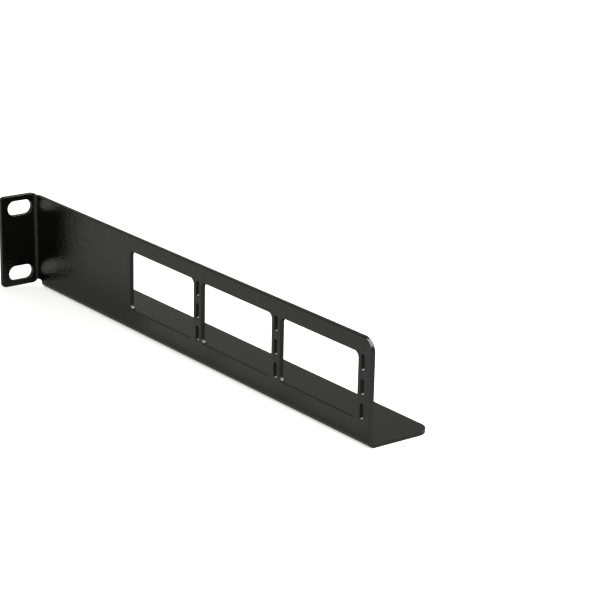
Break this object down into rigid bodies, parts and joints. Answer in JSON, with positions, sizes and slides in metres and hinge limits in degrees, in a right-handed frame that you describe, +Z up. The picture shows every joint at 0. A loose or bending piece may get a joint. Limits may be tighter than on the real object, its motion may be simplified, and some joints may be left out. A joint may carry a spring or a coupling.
{
  "type": "rack mount ear bracket",
  "caption": "Right-hand bracket folded from one steel sheet: slotted rack ear, windowed web with cable-tie slots, and a shelf under the device.",
  "frame": {"origin": "midway between the two ear slots, on the ear's rear face", "axes": "+X out past the ear's free edge, +Y to the back of the rack, +Z up; the bracket stands on its shelf"},
  "size_m": [0.0508, 0.254, 0.046],
  "materials": {
    "powder_coat": "fine-textured semi-gloss black powder coat over folded sheet steel"
  },
  "bodies": {
    "root": {"bracket": "powder_coat"}
  },
  "joints": []
}
